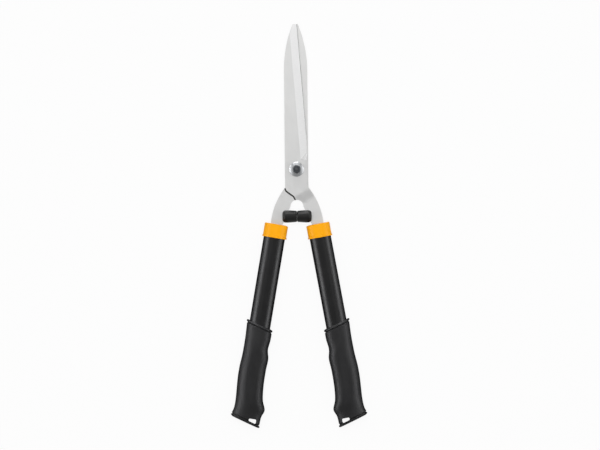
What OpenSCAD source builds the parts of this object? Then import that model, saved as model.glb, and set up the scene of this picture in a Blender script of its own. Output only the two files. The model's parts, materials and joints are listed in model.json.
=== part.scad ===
// Hedge shears lying flat: two blade halves cross at one pivot bolt, and each
// half carries a bumper, a collar, an oval tube and a moulded grip.
// Both halves are the same parts: the lower half is the upper half turned over
// about the length of the shears, so everything is drawn once, for the upper one.
// The shears lie in the XY plane with the blades towards +Y and the face of the
// upper blade towards +Z. The origin is the bottom centre of the closed shears.

/* [Blades] */
// From the pivot to the blunt tip
blade_reach = 205; // [150:1:260]
// Thickness of the steel of blade, neck and tang
steel_t = 3; // [2.5:0.1:4]
// From the centre line to the back (spine) of the blade
spine_offset = 16.5; // [15.5:0.1:20]
// From the centre line to the cutting edge at its heel
edge_offset = 14.6; // [12.5:0.1:15]
// Spine side of the tip, from the centre line
tip_spine_side = 3.6; // [3:0.1:5]
// Edge side of the tip, from the centre line
tip_edge_side = 2.7; // [2:0.1:4]
// Length of the rounded nose, along the blade
nose_len = 66; // [40:1:90]
// Length of the straight stretch of edge beside the pivot, above it
heel_straight = 50; // [40:1:60]
// Width of the ground bevel
bevel_w = 11.5; // [6:0.1:14]
// Steel left under the ground bevel, before honing
edge_land = 0.9; // [0.6:0.1:1.4]
// Width of the steep honed bevel along the cutting edge
honed_w = 1; // [0.5:0.1:1.4]
// Steel left at the honed cutting edge
edge_tip_t = 0.25; // [0.2:0.05:0.35]
// Start of the bevel above the pivot
bevel_start = 14; // [12:1:30]
// Length over which the bevel runs in
bevel_run_in = 12; // [4:1:25]
// Gap between the two blades
blade_gap = 0.4; // [0.3:0.05:0.6]

/* [Necks] */
// Drop from the pivot to the top of the collar, along the centre line
neck_drop = 77; // [74:0.5:90]
// From the centre line to the handle axis, at the top of the collar
neck_spread = 29; // [27:0.5:34]
// Angle of each handle to the centre line
handle_angle = 10; // [7:0.5:13]
// Radius of the outer edge of the neck
neck_r = 97; // [85:1:130]
// Drop from the pivot to where the neck leaves the blade
heel_drop = 23.4; // [22:0.1:25]
// Radius of the eye between the two necks
eye_r = 9; // [7:0.1:10]
// Drop from the pivot to the centre of the eye
eye_drop = 52; // [51:0.1:53]
// Distance from the pivot to the joggle
joggle_start = 36; // [35:0.1:38]
// Length of the joggle
joggle_len = 11.5; // [9:0.5:13]
// Direction in which the joggle runs, below the +X axis
joggle_angle = 60; // [56:1:62]
// Width of the slot between the shoulder of one half and the neck of the other
slot_w = 2.1; // [1.6:0.1:2.4]
// Depth of that slot below the inner face
slot_depth = 1.2; // [0.8:0.1:1.5]
// Width of the tang in the handle
tang_w = 16.5; // [12:0.1:20]
// Length of the tang below the top of the collar
tang_len = 55; // [40:1:80]

/* [Pivot] */
// Diameter of the pivot bolt
bolt_d = 7; // [6:0.1:7.5]
// Size across the flats of nut and bolt head
hex_af = 11; // [10.5:0.1:13]
// Height of the bolt head
head_h = 4.6; // [4:0.1:6]
// Height of the locking nut
nut_h = 7; // [6.5:0.1:7.4]
// Height of the nut's hexagon, below its round crown
nut_hex_h = 4.4; // [4:0.1:4.8]
// Diameter of the domed washers under nut and head
washer_d = 20.6; // [18:0.1:24]
// Height of those washers at their seat
washer_t = 2.2; // [1.8:0.1:2.6]
// Thickness of those washers at the rim
washer_rim_t = 0.7; // [0.5:0.1:1]
// Diameter of the bearing washer between the blades
bearing_d = 22; // [18:0.5:26]
// Height of the nylon ring in the nut
ring_h = 1.8; // [1.2:0.1:2.2]

/* [Bumpers] */
// Drop from the pivot to the axis of the bumpers
bumper_drop = 66.3; // [65:0.1:67]
// Largest diameter of a bumper
bumper_d = 17.6; // [15:0.1:19]
// Diameter of its striking face
bumper_face_d = 15.8; // [12:0.1:17]
// Length of a bumper
bumper_len = 20.5; // [19:0.1:23]
// Height of the lug that carries the bumper
lug_h = 9; // [7:0.5:11]
// Rubber between the lug and the striking face
lug_cover = 4.5; // [3:0.1:6]

/* [Tubes] */
// Width of the oval tube
tube_w = 30.3; // [27:0.1:34]
// Thickness of the oval tube, front to back
tube_h = 21.5; // [20:0.1:24]
// Wall of the tube
tube_wall = 1.2; // [0.8:0.1:2]
// Radius of the narrow sides of the tube
tube_side_r = 8.2; // [7.5:0.1:8.8]
// End of the tube below the top of the collar
tube_end = 256; // [240:1:260]
// Length of the core that holds the tang
core_len = 62; // [58:1:100]
// Diameter of the cross pin through tube, core and tang
pin_d = 5; // [4:0.1:6]
// Drop of the cross pin below the top of the collar
pin_drop = 11; // [8:0.5:13]

/* [Collars] */
// Length of the collar along the handle
collar_len = 19.5; // [17:0.1:24]
// Wall of the collar outside the tube
collar_wall = 1.5; // [1.3:0.1:1.7]
// Thickness of its end over the tube
collar_end = 3; // [2:0.1:4]
// Height of the raised lip at its lower edge
collar_lip = 0.7; // [0.2:0.1:0.9]
// Width of the chamfer on its inner upper corner
collar_chamfer_w = 3.8; // [2:0.1:5]
// Height of that chamfer
collar_chamfer_h = 1.1; // [0.5:0.1:1.6]

/* [Grips] */
// Start of the grip below the top of the collar, on the handle axis
grip_start = 143.5; // [120:0.5:160]
// Length of the grip on the handle axis
grip_len = 138.4; // [125:0.5:150]
// Rise of the slanted ends for each millimetre across
grip_slant = 0.28; // [0.1:0.01:0.35]
// Wall beside the tube
grip_side_wall = 3.4; // [3.2:0.1:4.5]
// Wall at the flat front and back faces
grip_face_wall = 2.25; // [2:0.05:3]
// Height of the rolled rims
rim_h = 0.9; // [0.4:0.1:1.4]
// Width of the rolled rims
rim_w = 3.2; // [2.5:0.1:4]
// Width of the hang hole
hang_w = 10.5; // [8:0.1:11]
// Height of the hang hole at its inner end
hang_h = 7.2; // [6.5:0.1:8]
// Rim left below the hang hole
hang_rim = 3.2; // [3:0.1:4]
// Wall left beside the hang hole, on the inner side
hang_side = 5.4; // [4:0.1:7]

/* [Fits] */
// Radial clearance of the upper blade on the bolt
running_fit = 0.05; // [0.02:0.01:0.1]
// Clearance of pieces that are fixed together
seat_gap = 0.1; // [0.05:0.01:0.15]
// Gap between the two bumpers when the shears are closed
bumper_gap = 0.3; // [0.2:0.05:0.5]

/* [Hidden] */

// ---- points and outlines ----

function unit(v) = v / norm(v);
function turn_left(v) = [-v[1], v[0]];
function xy(p) = [p[0], p[1]];
function sharp(points) = [for (p = points) [p[0], p[1], 0]];

// Corner [x, y, r] between its neighbours, as points of an arc of radius r. The
// radius is limited to what the two edges leave room for.
function corner_arc(before, corner, after) =
    let (
        a = xy(before) - xy(corner),
        b = xy(after) - xy(corner),
        half = acos(unit(a) * unit(b)) / 2,
        room = min(norm(a) * (before[2] > 0 ? 0.5 : 1), norm(b) * (after[2] > 0 ? 0.5 : 1)),
        r = min(corner[2], room * tan(half)),
        middle = xy(corner) + unit(unit(a) + unit(b)) * r / sin(half),
        from = xy(corner) + unit(a) * r / tan(half) - middle,
        to = xy(corner) + unit(b) * r / tan(half) - middle,
        sweep = (180 - 2 * half) * (turn_left(from) * to > 0 ? 1 : -1),
        steps = max(2, ceil(abs(sweep) / 10))
    )
    [for (i = [0 : steps])
        let (w = sweep * i / steps) middle + from * cos(w) + turn_left(from) * sin(w)];

// Outline through corners [x, y, r], each rounded where its r is above zero
function rounded(corners) =
    let (n = len(corners))
    [for (i = [0 : n - 1])
        let (c = corners[i])
        each c[2] > 0 ? corner_arc(corners[(i + n - 1) % n], c, corners[(i + 1) % n]) : [xy(c)]];

// Inner points of the arc of radius r from p to q, with its centre to the left
function arc_between(p, q, r, steps) =
    let (
        half_chord = norm(q - p) / 2,
        centre = (p + q) / 2 + turn_left(unit(q - p)) * sqrt(r * r - half_chord * half_chord),
        start = p - centre,
        sweep = 2 * asin(half_chord / r)
    )
    [for (i = [1 : steps - 1])
        let (w = sweep * i / steps) centre + start * cos(w) + turn_left(start) * sin(w)];

// Smooth curve through knots [x, y], read at x
function slope(k, i) =
    let (a = max(0, i - 1), b = min(len(k) - 1, i + 1)) (k[b][1] - k[a][1]) / (k[b][0] - k[a][0]);
function curve(k, x, i = 0) =
    x > k[i + 1][0] && i < len(k) - 2 ? curve(k, x, i + 1) :
    let (
        h = k[i + 1][0] - k[i][0],
        f = (x - k[i][0]) / h
    )
    k[i][1] * (2 * pow(f, 3) - 3 * pow(f, 2) + 1) + h * slope(k, i) * (pow(f, 3) - 2 * pow(f, 2) + f)
    + k[i + 1][1] * (3 * pow(f, 2) - 2 * pow(f, 3)) + h * slope(k, i + 1) * (pow(f, 3) - pow(f, 2));

// Soft step from 0 to 1, and a soft bead of height 1 over a width of 1
function soft_step(f) = f < 0 ? 0 : f > 1 ? 1 : f * f * (3 - 2 * f);
function bead(f) = f <= 0 || f >= 1 ? 0 : pow(sin(180 * f), 0.7);

// ---- the tube's oval: two crowned faces between two narrow round sides ----

oval_side_x = tube_w / 2 - tube_side_r;
oval_crown_r = (pow(oval_side_x, 2) + pow(tube_h / 2, 2) - pow(tube_side_r, 2)) / (tube_h - 2 * tube_side_r);
oval_meet = atan2(oval_crown_r - tube_h / 2, oval_side_x);

// The oval grown on all sides, as points once round it
function oval_half(grow) = concat(
    [for (i = [0 : 10])
        let (w = oval_meet * (i / 5 - 1), r = tube_side_r + grow)
        [oval_side_x + r * cos(w), r * sin(w)]],
    [for (i = [1 : 17])
        let (w = oval_meet + (180 - 2 * oval_meet) * i / 18, r = oval_crown_r + grow)
        [r * cos(w), tube_h / 2 - oval_crown_r + r * sin(w)]]
);
function oval_ring(grow) = concat(oval_half(grow), [for (p = oval_half(grow)) -p]);

// ---- frames ----

// From the handle's own frame, with its origin on the handle axis at the top of
// the collar, +X away from the other handle and -Y down the handle
function from_handle(p) = [
    neck_spread + p[0] * cos(handle_angle) - p[1] * sin(handle_angle),
    -neck_drop + p[0] * sin(handle_angle) + p[1] * cos(handle_angle)
];

module handle_frame() {
    translate([neck_spread, -neck_drop, 0]) rotate([0, 0, handle_angle]) children();
}

// Turns a piece drawn along +Z into one that runs down the handle from a drop
module down_handle(drop) {
    translate([0, -drop, 0]) rotate([90, 0, 0]) children();
}

// ---- grip shape ----

// Half widths of the grip: [share of its length, change from tube and side wall]
inner_swell = [
    [0, -0.2], [0.1, -0.1], [0.21, -1.5], [0.29, 1.1], [0.41, 0.4], [0.58, 0.8],
    [0.72, 3.3], [0.80, 8.0], [0.88, 4.6], [1, 3.7]
];
outer_swell = [
    [0, 0.2], [0.18, -1], [0.36, -0.9], [0.49, 0.3], [0.61, 0.2], [0.83, -1.9],
    [0.92, -1.4], [0.975, 0.7], [1, -0.4]
];
// Half thickness of the grip: [share of its length, change from tube and face wall]
face_swell = [[0, -0.9], [0.15, -0.5], [0.3, 0.5], [0.75, 0.5], [0.88, -1.2], [1, -2.4]];
grip_half_w = tube_w / 2 + grip_side_wall;
grip_half_h = tube_h / 2 + grip_face_wall;
// Higher values make the grip's section squarer: round for the palm, flatter for the fingers
palm_squareness = 2.25;
finger_squareness = 2.9;
grip_sides = 40;
groove_w = 1.8;
groove_depth = 0.5;
// Radius that rounds the edge of both slanted ends
end_round = 1.3;

// Rolled rim at each end of the grip and a groove beside it, at a distance x along it
function rim_bead(x) = bead((x + 0.3 * rim_w) / (1.3 * rim_w));
function rim_groove(x) = bead((x - rim_w) / groove_w);
function end_inset(x) = x >= end_round ? 0 : end_round - sqrt(x * (2 * end_round - x));
function grip_rim(x) =
    rim_h * (rim_bead(x) + rim_bead(grip_len - x))
    - groove_depth * (rim_groove(x) + rim_groove(grip_len - x))
    - end_inset(x) - end_inset(grip_len - x);

// One section of the grip at a distance x along it, slanted
function grip_ring(x) =
    let (
        f = x / grip_len,
        inner = grip_half_w + curve(inner_swell, f) + grip_rim(x),
        outer = grip_half_w + curve(outer_swell, f) + grip_rim(x),
        face = grip_half_h + curve(face_swell, f) + grip_rim(x)
    )
    [for (i = [0 : grip_sides - 1])
        let (
            w = 360 * i / grip_sides,
            squareness = cos(w) > 0 ? palm_squareness : finger_squareness,
            across = (cos(w) > 0 ? outer : inner) * sign(cos(w)) * pow(abs(cos(w)), 2 / squareness),
            up = face * sign(sin(w)) * pow(abs(sin(w)), 2 / squareness)
        )
        [across, -(grip_start + x - grip_slant * across), up]];

// Sections stand close together at the rims and further apart between them
rim_zone = 1.6 * rim_w;
end_stations = concat(
    [for (f = [0, 0.12, 0.4]) f * end_round],
    [for (i = [0 : 5]) end_round + (rim_zone - end_round) * i / 6]
);
grip_stations = concat(
    end_stations,
    [for (i = [0 : 32]) rim_zone + (grip_len - 2 * rim_zone) * i / 32],
    [for (i = [len(end_stations) - 1 : -1 : 0]) grip_len - end_stations[i]]
);
grip_rings = [for (x = grip_stations) grip_ring(x)];

// ---- places that follow from the sizes ----

// Outline of the blade: the nose arc leaves the spine without a kink
nose_in = spine_offset - tip_spine_side;
nose_r = (nose_len * nose_len + nose_in * nose_in) / (2 * nose_in);
nose_start = [-spine_offset, blade_reach - nose_len];
tip_spine = [-tip_spine_side, blade_reach];
tip_edge = [tip_edge_side, blade_reach];
edge_taper = atan((edge_offset - tip_edge_side) / (blade_reach - heel_straight));
heel = [edge_offset, -heel_drop];
// Shoulder under the spine, down to the eye
spine_end = [-spine_offset, -25.5];
shoulder = [-spine_offset + 1.9, -29.9];
shoulder_foot = [-3.9, -37.7];
// The eye's arc is shared by both halves and starts just past the centre line
eye_from = 98;
eye_side = [eye_r, -eye_drop];
tang_outer_top = from_handle([tang_w / 2, 0]);
tang_inner_top = from_handle([-tang_w / 2, 0]);
lug_tip = bumper_gap / 2 + lug_cover;
lug_top = -bumper_drop + lug_h / 2;
lug_bottom = -bumper_drop - lug_h / 2;
tail_reach = -min([for (ring = grip_rings, p = ring) from_handle(p)[1]]);
pivot_y = (tail_reach - blade_reach) / 2;
mid_z = grip_half_h;
plate_z = blade_gap / 2;
neck_shift = plate_z + steel_t / 2;
sheet_reach = blade_reach + neck_drop + tang_len;
head_z = plate_z + steel_t + washer_t;
nut_z = head_z + running_fit;
hex_corner_d = hex_af / cos(30);
washer_seat_r = hex_corner_d / 2 + 0.2;
crown_r = 0.46 * hex_af;
ring_d = bolt_d + 1.4;
thread_fit = 0.03;
bolt_end_z = nut_z + nut_h - 0.8;
core_grow = -tube_wall - seat_gap;

// Inner edge of the neck, between the eye and the collar
function neck_inner(y) = [
    eye_side[0] + (tang_inner_top[0] - eye_side[0]) * (eye_side[1] - y) / (eye_side[1] - tang_inner_top[1]),
    y
];

// Corners of blade, neck, lug and tang: down the spine, round the tang and up the edge
blade_corners = concat(
    [[tip_spine[0], tip_spine[1], 1.2]],
    sharp(arc_between(tip_spine, nose_start, nose_r, 14)),
    [
        [nose_start[0], nose_start[1], 0],
        [spine_end[0], spine_end[1], 3],
        [shoulder[0], shoulder[1], 4],
        [shoulder_foot[0], shoulder_foot[1], 4]
    ],
    [for (i = [0 : 12])
        let (w = eye_from * (1 - i / 12)) [eye_r * cos(w), -eye_drop + eye_r * sin(w), 0]],
    [
        [neck_inner(lug_top)[0], lug_top, 1],
        [lug_tip, lug_top, 1.5],
        [lug_tip, lug_bottom, 1.5],
        [neck_inner(lug_bottom)[0], lug_bottom, 1]
    ],
    sharp([
        tang_inner_top,
        from_handle([-tang_w / 2, -tang_len]),
        from_handle([tang_w / 2, -tang_len]),
        tang_outer_top
    ]),
    sharp(arc_between(tang_outer_top, heel, neck_r, 14)),
    [
        [heel[0], heel[1], 6],
        [edge_offset, heel_straight, 500],
        [tip_edge[0], tip_edge[1], 1]
    ]
);
blade_outline = rounded(blade_corners);

// Way that leads square out of the slanting edge of the other half's shoulder
slot_side = unit([shoulder[1] - shoulder_foot[1], shoulder[0] - shoulder_foot[0]]);

// ---- halves ----

module whole() {
    translate([0, pivot_y, mid_z]) children();
}

module upper_half() {
    whole() children();
}

module lower_half() {
    whole() rotate([0, 180, 0]) children();
}

// ---- solids used more than once ----

// Solid through a stack of rings with the same number of points each
module loft(rings) {
    n = len(rings[0]);
    m = len(rings);
    polyhedron(
        points = [for (r = rings) each r],
        faces = concat(
            [[for (i = [0 : n - 1]) i]],
            [for (j = [0 : m - 2], i = [0 : n - 1])
                [j * n + (i + 1) % n, j * n + i, (j + 1) * n + i, (j + 1) * n + (i + 1) % n]],
            [[for (i = [0 : n - 1]) m * n - 1 - i]]
        ),
        convexity = 6
    );
}

// Bar along +Z with the tube's oval as its section, grown on all sides
module tube_bar(grow, length) {
    crown_r = oval_crown_r + grow;
    crown_y = oval_crown_r - tube_h / 2;
    meet_x = crown_r * cos(oval_meet);
    for (side = [-1, 1]) {
        translate([side * oval_side_x, 0, 0]) cylinder(h = length, r = tube_side_r + grow, $fn = 64);
    }
    intersection() {
        translate([-meet_x, -tube_h, 0]) cube([2 * meet_x, 2 * tube_h, length]);
        translate([0, crown_y, 0]) cylinder(h = length, r = crown_r, $fn = 128);
        translate([0, -crown_y, 0]) cylinder(h = length, r = crown_r, $fn = 128);
    }
}

// Hexagonal prism with its corners turned off at the top
module hex_body(height) {
    turned = (hex_corner_d - hex_af) / 2 + 0.4;
    intersection() {
        rotate([0, 0, 8]) cylinder(h = height, d = hex_corner_d, $fn = 6);
        rotate_extrude($fn = 64) polygon([
            [0, 0],
            [hex_corner_d / 2 + 1, 0],
            [hex_corner_d / 2 + 1, height - (turned + 1) * tan(30)],
            [hex_corner_d / 2 - turned, height],
            [0, height]
        ]);
    }
}

// ---- blade halves ----

// Height of the under side of the steel, x along the way of the joggle
function sheet_z(x) = plate_z - neck_shift * soft_step((x - joggle_start) / joggle_len);

// The steel sheet without its outline: level at the blade, then down to the middle
module bent_sheet() {
    steps = 12;
    bend = [for (i = [0 : steps]) let (x = joggle_start + joggle_len * i / steps) [x, sheet_z(x)]];
    under = concat([[-sheet_reach, sheet_z(0)]], bend, [[sheet_reach, sheet_z(sheet_reach)]]);
    over = [for (i = [len(under) - 1 : -1 : 0]) under[i] + [0, steel_t]];
    rotate([0, 0, -joggle_angle]) rotate([90, 0, 0])
        linear_extrude(height = 2 * sheet_reach, center = true) polygon(concat(under, over));
}

// What the grinding wheel takes off: a long slope down to the edge, run in at the heel
module bevel_cut() {
    top = plate_z + steel_t;
    fall = (steel_t - edge_land) / bevel_w;
    run_in_fall = (steel_t - edge_land) / bevel_run_in;
    side = 30;
    length = blade_reach + 20;
    intersection() {
        translate([tip_edge_side, blade_reach, 0]) rotate([90, 0, edge_taper])
            linear_extrude(height = 2 * length, center = true) polygon([
                [-bevel_w, top],
                [side, top - fall * (bevel_w + side)],
                [side, top + 1],
                [-bevel_w, top + 1]
            ]);
        rotate([90, 0, 90])
            linear_extrude(height = 4 * side, center = true) polygon([
                [bevel_start, top],
                [length, top - run_in_fall * (length - bevel_start)],
                [length, top + 1],
                [bevel_start, top + 1]
            ]);
    }
}

// What the hone takes off: a short steep slope along the ground stretch of the edge
module hone_cut() {
    top = plate_z + steel_t + 1;
    low = plate_z + edge_tip_t;
    rise = (edge_land - edge_tip_t) / honed_w + (steel_t - edge_land) / bevel_w;
    side = 5;
    translate([tip_edge_side, blade_reach, 0]) rotate([90, 0, edge_taper]) translate([0, 0, -20])
        linear_extrude(height = 20 + blade_reach - bevel_start - bevel_run_in) polygon([
            [-(top - low) / rise, top],
            [side, low - rise * side],
            [side, top]
        ]);
}

// The other half's outline, moved outwards square to its shoulder
module other_outline(out) {
    translate(out * slot_side) mirror([1, 0]) polygon(blade_outline);
}

// The neck of this half, from the heel down
module neck_outline() {
    intersection() {
        polygon(blade_outline);
        translate([0, -sheet_reach - heel_drop]) square(sheet_reach);
    }
}

// Keeps the inner face level where the joggle starts under the other half
module joggle_relief() {
    translate([0, 0, -2 * steel_t]) linear_extrude(height = 2 * steel_t + plate_z) intersection() {
        other_outline(slot_w);
        rotate(-joggle_angle) translate([joggle_start, -sheet_reach]) square(2 * sheet_reach);
    }
}

// Thickens the neck on its inner face, from the slot to where it has come to the middle
module neck_pad() {
    translate([0, 0, plate_z - neck_shift]) linear_extrude(height = neck_shift + 0.3) difference() {
        neck_outline();
        other_outline(slot_w);
    }
}

// Slot in the inner face that sets the neck off from the other half's shoulder
module neck_slot() {
    overlap = 0.4;
    translate([0, 0, -steel_t]) linear_extrude(height = steel_t + plate_z + slot_depth) intersection() {
        neck_outline();
        difference() {
            other_outline(slot_w);
            other_outline(-overlap);
        }
    }
}

module blade_half() {
    difference() {
        union() {
            difference() {
                intersection() {
                    linear_extrude(height = 4 * steel_t, center = true) polygon(blade_outline);
                    bent_sheet();
                }
                joggle_relief();
            }
            neck_pad();
        }
        neck_slot();
        cylinder(h = 6 * steel_t, d = bolt_d + 2 * running_fit, center = true, $fn = 64);
        handle_frame() translate([0, -pin_drop, 0])
            cylinder(h = 4 * steel_t, d = pin_d + 2 * thread_fit, center = true, $fn = 48);
        bevel_cut();
        hone_cut();
    }
}

module upper_blade() {
    color("lightgray") upper_half() blade_half();
}

module lower_blade() {
    color("silver") lower_half() blade_half();
}

// ---- pivot ----

module pivot_bolt() {
    shank_r = bolt_d / 2;
    color("dimgray") whole() {
        translate([0, 0, -head_z]) rotate([180, 0, 0]) hex_body(head_h);
        rotate_extrude($fn = 64) polygon([
            [0, -head_z - 1],
            [shank_r, -head_z - 1],
            [shank_r, bolt_end_z - 0.8],
            [shank_r - 0.8, bolt_end_z],
            [0, bolt_end_z]
        ]);
    }
}

// Locking nut: a hexagon below, a round crown over the nylon ring above
module pivot_nut() {
    edge = 0.6;
    color("dimgray") whole() translate([0, 0, nut_z]) difference() {
        union() {
            hex_body(nut_hex_h);
            rotate_extrude($fn = 64) polygon([
                [0, 0],
                [crown_r, 0],
                [crown_r, nut_h - edge],
                [crown_r - 0.3 * edge, nut_h - 0.3 * edge],
                [crown_r - edge, nut_h],
                [0, nut_h]
            ]);
        }
        translate([0, 0, -1]) cylinder(h = nut_h + 2, d = bolt_d + 2 * thread_fit, $fn = 64);
        translate([0, 0, nut_h - ring_h]) cylinder(h = ring_h + 1, d = ring_d, $fn = 64);
    }
}

module nut_locking_ring() {
    color("slategray") whole() translate([0, 0, nut_z + nut_h - ring_h]) difference() {
        cylinder(h = ring_h - 0.3, d = ring_d - 2 * thread_fit, $fn = 64);
        translate([0, 0, -1]) cylinder(h = ring_h + 2, d = bolt_d + 2 * thread_fit, $fn = 64);
    }
}

// Domed washer: a level seat in the middle that falls away to a thin rim
module domed_washer() {
    rim_r = washer_d / 2;
    centre_z = (pow(washer_seat_r, 2) + pow(washer_t, 2) - pow(rim_r, 2) - pow(washer_rim_t, 2))
        / (2 * (washer_t - washer_rim_t));
    dome_r = norm([rim_r, washer_rim_t - centre_z]);
    difference() {
        intersection() {
            cylinder(h = washer_t, r = rim_r, $fn = 96);
            translate([0, 0, centre_z]) sphere(r = dome_r, $fn = 96);
        }
        translate([0, 0, -1]) cylinder(h = washer_t + 2, d = bolt_d + 2 * seat_gap, $fn = 64);
    }
}

module upper_washer() {
    color("gainsboro") whole() translate([0, 0, nut_z - washer_t]) domed_washer();
}

module lower_washer() {
    color("gainsboro") whole() translate([0, 0, washer_t - head_z]) rotate([180, 0, 0]) domed_washer();
}

module bearing_washer() {
    bearing_t = blade_gap - 2 * 0.02;
    color("goldenrod") whole() difference() {
        cylinder(h = bearing_t, d = bearing_d, center = true, $fn = 96);
        cylinder(h = 2 * bearing_t, d = bolt_d + 2 * seat_gap, center = true, $fn = 64);
    }
}

// ---- bumpers ----

// Rubber buffer on the neck's lug, split by the steel where the neck passes it
module bumper() {
    striking_r = bumper_face_d / 2;
    body_r = bumper_d / 2;
    profile = rounded([
        [0, 0, 0],
        [striking_r, 0, 1.8],
        [body_r, 0.6 * bumper_len, 24],
        [body_r - 0.2, bumper_len, 4.5],
        [0, bumper_len, 0]
    ]);
    difference() {
        translate([bumper_gap / 2, -bumper_drop, 0]) rotate([0, 90, 0])
            rotate_extrude($fn = 64) polygon(profile);
        linear_extrude(height = steel_t, center = true) polygon(blade_outline);
    }
}

module bumper_right() {
    color("black") upper_half() bumper();
}

module bumper_left() {
    color("black") lower_half() bumper();
}

// ---- handles ----

// Sleeve over the end of the tube, with a rounded top, a lip below and a tang slot
module collar() {
    edge = 1.3;
    lip_w = 2.4;
    steps = [
        [0, -edge],
        [0.25 * edge, -0.4 * edge],
        [0.6 * edge, -0.12 * edge],
        [edge, 0],
        [collar_len - lip_w - 0.6, 0],
        [collar_len - lip_w, collar_lip],
        [collar_len - 0.4, collar_lip],
        [collar_len, collar_lip - 0.4]
    ];
    rings = [for (s = steps) [for (p = oval_ring(collar_wall + s[1])) [p[0], -s[0], p[1]]]];
    handle_frame() difference() {
        loft(rings);
        translate([-tube_w / 2 - collar_wall, -collar_chamfer_h, -tube_h])
            rotate([0, 0, atan(collar_chamfer_h / collar_chamfer_w)])
                translate([-edge, 0, 0]) cube([tube_w, tube_w, 2 * tube_h]);
        down_handle(collar_end) tube_bar(seat_gap, collar_len);
        translate([-tang_w / 2 - seat_gap, -collar_end - 1, -steel_t / 2 - seat_gap])
            cube([tang_w + 2 * seat_gap, collar_end + 2, steel_t + 2 * seat_gap]);
    }
}

module tube() {
    handle_frame() difference() {
        down_handle(collar_end) tube_bar(0, tube_end - collar_end);
        down_handle(collar_end - 1) tube_bar(-tube_wall, tube_end);
        cross_hole();
    }
}

// Hole for the cross pin, right through the handle from front to back
module cross_hole() {
    translate([0, -pin_drop, 0])
        cylinder(h = 2 * tube_h, d = pin_d + 2 * thread_fit, center = true, $fn = 48);
}

module tang_core() {
    handle_frame() difference() {
        down_handle(collar_end) tube_bar(core_grow, core_len);
        translate([-tang_w / 2 - seat_gap, -tang_len - seat_gap, -steel_t / 2 - seat_gap])
            cube([tang_w + 2 * seat_gap, tang_len + seat_gap, steel_t + 2 * seat_gap]);
        cross_hole();
    }
}

module tang_pin() {
    handle_frame() translate([0, -pin_drop, 0])
        cylinder(h = tube_h - 0.6, d = pin_d, center = true, $fn = 48);
}

// Moulded grip: swells for the fingers, flat front and back, socket for the tube,
// and a tail with a hang hole above its lower rim
module grip() {
    bottom = grip_start + grip_len;
    tail_x = -(grip_half_w + inner_swell[len(inner_swell) - 1][1]);
    hang_x = tail_x + hang_side;
    hang_corners = [for (c = [[0, 0], [hang_w, 0], [hang_w, 0.6 * hang_h], [0, hang_h]])
        let (x = hang_x + c[0])
        [x, -(bottom - hang_rim - c[1] - grip_slant * x), 1.6]];
    handle_frame() difference() {
        intersection() {
            loft(grip_rings);
            translate([-grip_half_w * 2, -bottom * 1.2, -grip_half_h])
                cube([grip_half_w * 4, bottom * 1.2, 2 * grip_half_h]);
        }
        down_handle(grip_start - grip_half_w) tube_bar(seat_gap, tube_end - grip_start + grip_half_w);
        linear_extrude(height = 4 * grip_half_h, center = true) polygon(rounded(hang_corners));
    }
}

module collar_right() {
    color("orange") upper_half() collar();
}

module collar_left() {
    color("orange") lower_half() collar();
}

module tube_right() {
    color([0.12, 0.12, 0.12]) upper_half() tube();
}

module tube_left() {
    color([0.12, 0.12, 0.12]) lower_half() tube();
}

module tang_core_right() {
    color("gray") upper_half() tang_core();
}

module tang_core_left() {
    color("gray") lower_half() tang_core();
}

module tang_pin_right() {
    color("lightsteelblue") upper_half() tang_pin();
}

module tang_pin_left() {
    color("lightsteelblue") lower_half() tang_pin();
}

module grip_right() {
    color([0.2, 0.2, 0.2]) upper_half() grip();
}

module grip_left() {
    color([0.2, 0.2, 0.2]) lower_half() grip();
}

upper_blade();
lower_blade();
pivot_bolt();
pivot_nut();
nut_locking_ring();
upper_washer();
lower_washer();
bearing_washer();
bumper_right();
bumper_left();
collar_right();
collar_left();
tube_right();
tube_left();
tang_core_right();
tang_core_left();
tang_pin_right();
tang_pin_left();
grip_right();
grip_left();
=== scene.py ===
import json
import math

import bmesh
import bpy
from mathutils import Matrix, Vector


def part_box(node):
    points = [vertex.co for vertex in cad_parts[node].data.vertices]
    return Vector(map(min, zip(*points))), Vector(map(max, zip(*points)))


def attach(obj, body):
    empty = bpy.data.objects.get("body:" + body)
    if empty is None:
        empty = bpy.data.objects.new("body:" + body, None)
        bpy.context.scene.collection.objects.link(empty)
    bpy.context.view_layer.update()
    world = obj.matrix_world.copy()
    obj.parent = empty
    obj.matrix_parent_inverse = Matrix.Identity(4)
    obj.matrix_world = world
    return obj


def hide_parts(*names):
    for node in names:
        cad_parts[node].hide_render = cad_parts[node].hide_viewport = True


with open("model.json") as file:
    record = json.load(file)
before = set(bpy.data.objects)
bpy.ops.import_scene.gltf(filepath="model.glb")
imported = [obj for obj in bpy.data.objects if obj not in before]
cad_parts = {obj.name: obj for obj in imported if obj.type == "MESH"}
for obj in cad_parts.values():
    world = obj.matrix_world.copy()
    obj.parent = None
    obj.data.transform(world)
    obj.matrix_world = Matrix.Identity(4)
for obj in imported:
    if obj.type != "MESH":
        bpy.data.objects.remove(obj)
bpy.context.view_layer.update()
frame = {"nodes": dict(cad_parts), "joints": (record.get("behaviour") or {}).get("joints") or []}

# Hedge shears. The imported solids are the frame: each operator below models or finishes one
# group of like pieces around them. Pieces of a handle are drawn in the handle's own frame,
# with its origin on the handle axis at the top of the collar, +X away from the other handle
# and -Y down the handle, and are then carried to the right handle. The lower half's pieces
# are those of the upper half turned over about the length of the shears.

bl_info = {
    "name": "Hedge Shears",
    "version": (1, 0, 0),
    "blender": (4, 5, 0),
    "location": "View3D > Sidebar > Hedge Shears",
    "description": "Models and finishes a pair of hedge shears around its packed frame",
    "category": "Add Mesh",
}

MM = 0.001
WELD = 0.001 * MM
# Clearance that stands in for a thread or a tight fit
FIT = 0.03 * MM
UPPER, LOWER = "upper_half", "lower_half"
PIVOT = Vector(frame["joints"][0]["pos_m"])
MID_Z = PIVOT.z
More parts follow.
